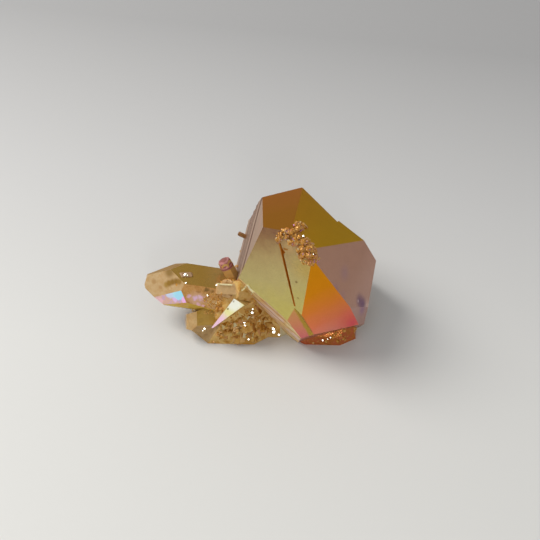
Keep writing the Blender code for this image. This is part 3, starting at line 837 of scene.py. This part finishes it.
class AURA_OT_sprout_cap(bpy.types.Operator):
    """Model the rounded, ribbed cap of the small upright sprout"""
    bl_idname = "aura.sprout_cap"
    bl_label = "Sprout cap"

    def execute(self, context):
        start_clean()
        bpy.ops.mesh.primitive_circle_add(vertices=20, radius=CAP_RADIUS, fill_type="NGON")
        cap = context.object
        bpy.ops.object.mode_set(mode="EDIT")
        radius = CAP_RADIUS
        lift = CAP_RISE / CAP_RINGS
        for step in range(1, CAP_RINGS + 1):
            share = step / CAP_RINGS
            groove = CAP_GROOVE if step % 2 else 1.0
            after = CAP_RADIUS * math.cos(share * CAP_ROUND) ** CAP_BULGE * groove
            bpy.ops.mesh.extrude_region_move(TRANSFORM_OT_translate={"value": (0.0, 0.0, lift)})
            bpy.ops.transform.resize(value=(after / radius, after / radius, 1.0))
            radius = after
        bpy.ops.mesh.select_all(action="SELECT")
        bpy.ops.mesh.normals_make_consistent(inside=False)
        bpy.ops.object.mode_set(mode="OBJECT")
        smooth = cap.modifiers.new("round", "SUBSURF")
        smooth.levels = 1
        smooth.render_levels = 1
        bpy.ops.object.modifier_apply(modifier=smooth.name)
        bpy.ops.object.shade_smooth()
        base = crystal_frame(SPROUT) @ Matrix.Translation((0.0, 0.0, CAP_SEAT))
        cap.matrix_world = Matrix.Diagonal((MM, MM, MM, 1.0)) @ base
        cap.data.materials.append(bpy.data.materials["sprout_cap"])
        settle(cap, "sprout_cap")
        return {"FINISHED"}


class AURA_OT_tip_druse(bpy.types.Operator):
    """Grow the fine druse patch on the tip of the big crystal"""
    bl_idname = "aura.tip_druse"
    bl_label = "Tip druse"

    def execute(self, context):
        settings = context.scene.aura_druse
        rng = random.Random(settings.seed)
        grain = model_grain()
        ground = surface_of(bpy.data.objects["crystals"])
        big = crystal_frame(BIG)
        turn = big.to_3x3()
        down = -(turn @ Vector((0.0, 0.0, 1.0)))
        places = []
        for x, y, spread, count in TIP_PATCHES:
            for _ in range(count):
                around = rng.uniform(0.0, math.tau)
                away = spread * math.sqrt(rng.random())
                own = Vector((x + math.cos(around) * away, y + math.sin(around) * away, 40.0))
                hit, normal, index, far = ground.ray_cast((big @ own) * MM, down)
                if hit is None:
                    continue
                radius = rng.uniform(settings.tip_smallest, settings.tip_largest)
                lean = random_way(rng) * 0.6
                direction = (turn @ Vector((-0.3, 0.0, 1.0)) + normal * 0.4 + lean).normalized()
                places.append((hit, direction, radius, radius * rng.uniform(0.6, 1.2)))
        join_grains(grain, places, rng, "tip_grains", "tip_druse")
        return {"FINISHED"}


class AURA_OT_root_druse(bpy.types.Operator):
    """Grow the fine druse on the root between the crystals"""
    bl_idname = "aura.root_druse"
    bl_label = "Root druse"

    def execute(self, context):
        settings = context.scene.aura_druse
        rng = random.Random(settings.seed + 1)
        grain = model_grain()
        crystals = bpy.data.objects["crystals"]
        ground = surface_of(crystals)
        names = [material.name for material in crystals.data.materials]
        faces = crystals.data.polygons
        grown = {names.index(name) for name in ("root_druse", "broken_root", "orange_root")}
        blade = crystal_frame(BLADE).inverted()
        places = []
        tries = 0
        while len(places) < settings.root_grains and tries < settings.root_grains * 30:
            tries += 1
            aim = Vector([rng.uniform(low, high) for low, high in ROOT_REACH]) * MM
            look = Vector((rng.uniform(-1, 1), rng.uniform(-1, 1), rng.uniform(-0.15, 1.0)))
            if look.length < 0.2:
                continue
            look.normalize()
            hit, normal, index, far = ground.ray_cast(aim + look * RAY_START * MM, -look)
            if hit is None or faces[index].material_index not in grown or hit.z < LOWEST_GRAIN * MM:
                continue
            radius = rng.uniform(settings.root_smallest, settings.root_largest)
            if hit.z < radius * 1.6 * MM:
                continue
            own = blade @ (hit / MM)
            if abs(own.x) < BLADE_SIDE and abs(own.z) < BLADE_ENDS and own.y > -0.4:
                continue
            if hit.z > BARE_HEIGHT * MM and hit.y < 0.0:
                continue
            direction = (normal + random_way(rng) * 0.7).normalized()
            places.append((hit, direction, radius, radius * rng.uniform(0.6, 1.4)))
        for _ in range(settings.flecks):
            across, down = rng.uniform(*FLECKS_ACROSS), rng.uniform(*FLECKS_DOWN)
            hit, normal = seen_spot(context, ground, across, down)
            own = blade @ (hit / MM)
            if abs(own.x) < BLADE_SIDE and abs(own.z) < BLADE_ENDS:
                continue
            radius = rng.uniform(*FLECK_RADII)
            direction = (normal + random_way(rng) * 0.9).normalized()
            places.append((hit, direction, radius, radius * rng.uniform(0.4, 1.0)))
        join_grains(grain, places, rng, "root_grains", "root_druse")
        return {"FINISHED"}


class AURA_OT_glints(bpy.types.Operator):
    """Set the small facets that mirror a light, and the raised edges with a painted pale highlight"""
    bl_idname = "aura.glints"
    bl_label = "Glints"

    def execute(self, context):
        settings = context.scene.aura_druse
        rng = random.Random(settings.seed + 2)
        ground = surface_of(bpy.data.objects["crystals"])
        places = []
        for across, down, radius in GLINTS:
            hit, normal = seen_spot(context, ground, across, down)
            to_camera = (camera_spot(context) - hit / MM).normalized()
            to_light = (KEY_SPOT - hit / MM).normalized()
            blocked = ground.ray_cast(hit + normal * SHADOW_GAP * MM, to_light)[0]
            if blocked is not None:
                to_light = (FILL_SPOT - hit / MM).normalized()
            mirror = (to_camera + to_light).normalized()
            places.append((hit + normal * GLINT_LIFT * MM, mirror, radius, radius * 0.35))
        join_grains(model_plate(), places, rng, "glint_facets", "glint_facet")
        self.raise_edges(context, ground)
        return {"FINISHED"}

    def raise_edges(self, context, ground):
        """Thin raised bars that follow the surface from corner to corner, pale as a painted highlight."""
        bars = bmesh.new()
        for route in (ZIGZAG, LOW_LINE):
            for (left, top), (right, low) in zip(route, route[1:]):
                shares = [step / BAR_STEPS for step in range(BAR_STEPS + 1)]
                spots = [
                    seen_spot(context, ground, left + (right - left) * share, top + (low - top) * share)
                    for share in shares]
                for (start, start_normal), (end, end_normal) in zip(spots, spots[1:]):
                    if (end - start).length > LONGEST_BAR * MM:
                        continue
                    out = (start_normal + end_normal).normalized()
                    self.add_bar(bars, start + out * BAR_LIFT * MM, end + out * BAR_LIFT * MM, out)
        bmesh.ops.recalc_face_normals(bars, faces=bars.faces)
        make_piece(bars, "painted_highlight_edges", "painted_highlight_edge")

    def add_bar(self, bars, start, end, out):
        """One ridge from start to end, sharp along its top."""
        side = (end - start).normalized().cross(out).normalized() * ZIGZAG_WIDTH / 2 * MM
        top = out * ZIGZAG_WIDTH / 2 * MM
        sink = out * ZIGZAG_WIDTH * MM
        rings = []
        for spot in (start, end):
            rings.append([bars.verts.new(spot + side - sink), bars.verts.new(spot + side * 0.8),
                          bars.verts.new(spot + top), bars.verts.new(spot - side * 0.8),
                          bars.verts.new(spot - side - sink)])
        bars.faces.new(rings[0])
        bars.faces.new(rings[1][::-1])
        for corner in range(5):
            after = (corner + 1) % 5
            bars.faces.new((rings[0][corner], rings[0][after], rings[1][after], rings[1][corner]))


def camera_spot(context):
    """Where the camera stands, in millimetres."""
    stage = context.scene.aura_stage
    tilt = math.radians(stage.elevation)
    return Vector(stage.target) + Vector((0.0, -math.cos(tilt), math.sin(tilt))) * stage.distance


def seen_spot(context, ground, across, down):
    """The point of the surface that the camera sees at a pixel, and the way the surface looks there."""
    stage = context.scene.aura_stage
    tilt = math.radians(stage.elevation)
    focal = PICTURE * stage.lens / SENSOR
    right = Vector((1.0, 0.0, 0.0))
    up = Vector((0.0, math.sin(tilt), math.cos(tilt)))
    ahead = Vector((0.0, math.cos(tilt), -math.sin(tilt)))
    sight = ahead + right * (across - PICTURE / 2) / focal + up * (PICTURE / 2 - down) / focal
    hit, normal, index, far = ground.ray_cast(camera_spot(context) * MM, sight.normalized())
    if hit is None:
        raise RuntimeError(f"no surface is seen at pixel {across}, {down}")
    return hit, normal


def surface_of(piece):
    """The piece's mesh as a tree that rays can be cast at."""
    return BVHTree.FromPolygons(
        [corner.co for corner in piece.data.vertices], [list(face.vertices) for face in piece.data.polygons])


def random_way(rng):
    """A random vector in a cube round nothing, to lean a grain with."""
    return Vector([rng.uniform(-1, 1) for _ in range(3)])


def start_prism(name, depth):
    """A six-sided prism below the origin, 1 in radius, in edit mode with only its top face selected."""
    start_clean()
    bpy.ops.mesh.primitive_cylinder_add(vertices=6, radius=1.0, depth=depth, location=(0.0, 0.0, -depth / 2))
    prism = bpy.context.object
    prism.name = name
    bpy.ops.object.mode_set(mode="EDIT")
    bpy.ops.mesh.select_mode(type="FACE")
    bpy.ops.mesh.select_all(action="DESELECT")
    shape = bmesh.from_edit_mesh(prism.data)
    for face in shape.faces:
        face.select_set(face.normal.z > 0.9)
    bmesh.update_edit_mesh(prism.data)
    return prism


def end_prism(prism):
    """Leaves edit mode and puts the prism's place into its mesh."""
    bpy.ops.object.mode_set(mode="OBJECT")
    bpy.ops.object.transform_apply(location=True, rotation=True, scale=True)
    return prism


def model_grain():
    """One small crystal: a six-sided prism drawn up to an off-centre point."""
    grain = start_prism("grain", 1.0)
    bpy.ops.mesh.extrude_region_move(TRANSFORM_OT_translate={"value": (0.0, 0.0, 0.35)})
    bpy.ops.mesh.extrude_region_move(TRANSFORM_OT_translate={"value": (0.08, -0.05, 0.55)})
    bpy.ops.transform.resize(value=(0.16, 0.34, 1.0))
    return end_prism(grain)


def model_plate():
    """One flat-topped small crystal, with a narrow bevel round its top."""
    plate = start_prism("plate", 3.0)
    bpy.ops.mesh.extrude_region_move(TRANSFORM_OT_translate={"value": (0.0, 0.0, 0.4)})
    bpy.ops.transform.resize(value=(0.8, 0.62, 1.0))
    return end_prism(plate)


def face_place(face):
    """A face's middle, rounded, to put a crystal's faces in the same order at each run."""
    return [round(part, 3) for part in face.calc_center_median()]


def join_grains(grain, places, rng, name, finish):
    """Copies one small crystal to every place, and makes one finished piece of the copies."""
    joined = bmesh.new()
    tint = joined.faces.layers.float.new("tint")
    for spot, direction, radius, length in places:
        turn = direction.to_track_quat("Z", "Y").to_matrix().to_4x4()
        spin = Matrix.Rotation(rng.uniform(0.0, math.tau), 4, "Z")
        size = Matrix.Diagonal((radius * rng.uniform(0.8, 1.2) * MM, radius * MM, length * MM, 1.0))
        before = len(joined.faces)
        joined.from_mesh(grain.data)
        joined.faces.ensure_lookup_table()
        fresh = sorted(joined.faces[before:], key=face_place)
        corners = {corner for face in fresh for corner in face.verts}
        bmesh.ops.transform(joined, matrix=Matrix.Translation(spot) @ turn @ spin @ size, verts=list(corners))
        own = rng.random()
        for face in fresh:
            face[tint] = min(1.0, max(0.0, own * 0.65 + rng.random() * 0.35))
    joined.normal_update()
    bpy.data.objects.remove(grain, do_unlink=True)
    make_piece(joined, name, finish)


def make_piece(shape, name, finish):
    """Makes a settled piece of a new shape, with one finish."""
    mesh = bpy.data.meshes.new(name)
    shape.to_mesh(mesh)
    shape.free()
    mesh.materials.append(bpy.data.materials[finish])
    piece = bpy.data.objects.new(name, mesh)
    bpy.context.scene.collection.objects.link(piece)
    settle(piece, name)


class AURA_OT_stage(bpy.types.Operator):
    """Set up the pale floor, the soft lights and the camera"""
    bl_idname = "aura.stage"
    bl_label = "Studio stage"

    def execute(self, context):
        stage = context.scene.aura_stage
        start_clean()
        bpy.ops.mesh.primitive_plane_add(size=FLOOR_SIZE, location=(0.0, 0.0, 0.0))
        floor = context.object
        floor.name = "floor"
        floor.data.materials.append(self.floor_finish())
        self.set_camera(context, stage)
        self.set_lights(context, stage)
        self.set_sky(context, stage)
        context.scene.view_settings.view_transform = "Standard"
        context.scene.view_settings.look = "None"
        return {"FINISHED"}

    def floor_finish(self):
        """Matt white card with painted light falloff: its colour is brighter at the front left and darker
        towards the back right.
        """
        shades = Shades("card_white")
        drift = shades.along(Vector((-12.0, -90.0, 0.0)), Vector((26.0, 110.0, 0.0)))
        # Painted light falloff: the card's colour darkens away from the front left, as the light fades across
        # the floor.
        colour = shades.ramp(drift, [
            (0.0, (214, 213, 208)), (0.35, (206, 205, 201)), (0.62, (190, 189, 187)), (1.0, (160, 159, 158))])
        grain = shades.noise(2.0, detail=3.0)
        normal = shades.bump(grain, 0.01)
        roughness = shades.spread(grain, 0.6, 0.75)
        return shades.finish(colour, roughness, normal, 0.0)

    def set_camera(self, context, stage):
        """The photograph's view: from the front, looking down at 45 degrees."""
        data = bpy.data.cameras.new("camera")
        data.lens = stage.lens
        data.sensor_width = SENSOR
        data.clip_start = 0.01
        camera = bpy.data.objects.new("camera", data)
        context.scene.collection.objects.link(camera)
        camera.location = camera_spot(context) * MM
        camera.rotation_euler = (math.radians(90.0 - stage.elevation), 0.0, 0.0)
        context.scene.camera = camera

    def set_lights(self, context, stage):
        """One soft light above the left and a weaker one at the front."""
        lamps = [
            ("key", KEY_SPOT * MM, KEY_SIZE, stage.key_power, (1.0, 0.99, 0.97)),
            ("fill", FILL_SPOT * MM, FILL_SIZE, stage.fill_power, (0.97, 0.98, 1.0)),
        ]
        for name, spot, size, power, tone in lamps:
            data = bpy.data.lights.new(name, "AREA")
            data.shape = "DISK"
            data.size = size
            data.energy = power
            data.color = tone
            lamp = bpy.data.objects.new(name, data)
            context.scene.collection.objects.link(lamp)
            lamp.location = spot
            look = Vector((0.0, 0.0, 0.01)) - spot
            lamp.rotation_euler = look.to_track_quat("-Z", "Y").to_euler()

    def set_sky(self, context, stage):
        """A soft sky that is brighter low down."""
        world = bpy.data.worlds.new("soft sky")
        world.use_nodes = True
        nodes = world.node_tree.nodes
        links = world.node_tree.links
        sky = nodes["Background"]
        sky.inputs["Color"].default_value = (0.97, 0.98, 1.0, 1.0)
        direction = nodes.new("ShaderNodeTexCoord")
        parts = nodes.new("ShaderNodeSeparateXYZ")
        links.new(direction.outputs["Generated"], parts.inputs["Vector"])
        height = nodes.new("ShaderNodeMapRange")
        height.inputs["From Max"].default_value = 0.7
        height.inputs["To Min"].default_value = stage.sky_low
        height.inputs["To Max"].default_value = stage.sky_high
        links.new(parts.outputs["Z"], height.inputs["Value"])
        links.new(height.outputs["Result"], sky.inputs["Strength"])
        context.scene.world = world


class AuraDruseSettings(bpy.types.PropertyGroup):
    """The fine druse: how much grows, and its smallest and largest grain radii in millimetres."""
    seed: IntProperty(name="Seed", description="Which random druse grows", default=7)
    tip_smallest: FloatProperty(name="Smallest grain on the tip", default=0.14)
    tip_largest: FloatProperty(name="Largest grain on the tip", default=0.32)
    root_smallest: FloatProperty(name="Smallest grain on the root", default=0.14)
    root_largest: FloatProperty(name="Largest grain on the root", default=0.42)
    flecks: IntProperty(name="Flecks", description="How many flecks lie beside the blade", default=90)
    root_grains: IntProperty(name="Root grains", description="How many grains the root has", default=320)


class AuraStageSettings(bpy.types.PropertyGroup):
    """The camera, with lengths in millimetres, and the lights, with powers in watts."""
    lens: FloatProperty(name="Focal length", default=60.0)
    distance: FloatProperty(name="Camera to target", default=180.0)
    elevation: FloatProperty(name="Degrees that the camera looks down", default=45.0)
    target: FloatVectorProperty(name="Point in the middle of the picture", default=CAMERA_TARGET)
    key_power: FloatProperty(name="Power of the left light", default=3.1)
    fill_power: FloatProperty(name="Power of the front light", default=0.5)
    sky_low: FloatProperty(name="Sky at the horizon", default=0.80)
    sky_high: FloatProperty(name="Sky overhead", default=0.44)


class AURA_PT_panel(bpy.types.Panel):
    """Lists the steps that build the cluster"""
    bl_idname = "AURA_PT_panel"
    bl_label = "Aura Quartz"
    bl_space_type = "VIEW_3D"
    bl_region_type = "UI"
    bl_category = "Aura Quartz"

    def draw(self, context):
        for step in STEPS:
            self.layout.operator(step.bl_idname)


STEPS = (
    AURA_OT_crystals, AURA_OT_sprout_cap, AURA_OT_tip_druse, AURA_OT_root_druse, AURA_OT_glints,
    AURA_OT_stage)
CLASSES = (AuraDruseSettings, AuraStageSettings) + STEPS + (AURA_PT_panel,)


def register():
    """Adds the operators, the settings and the panel to Blender."""
    for kind in CLASSES:
        bpy.utils.register_class(kind)
    bpy.types.Scene.aura_druse = PointerProperty(type=AuraDruseSettings)
    bpy.types.Scene.aura_stage = PointerProperty(type=AuraStageSettings)


def unregister():
    """Takes them out again."""
    del bpy.types.Scene.aura_stage
    del bpy.types.Scene.aura_druse
    for kind in reversed(CLASSES):
        bpy.utils.unregister_class(kind)


def main():
    """Builds the whole scene, step by step."""
    register()
    bpy.ops.aura.crystals()
    bpy.ops.aura.sprout_cap()
    bpy.ops.aura.tip_druse()
    bpy.ops.aura.root_druse()
    bpy.ops.aura.glints()
    bpy.ops.aura.stage()


if __name__ == "__main__":
    main()
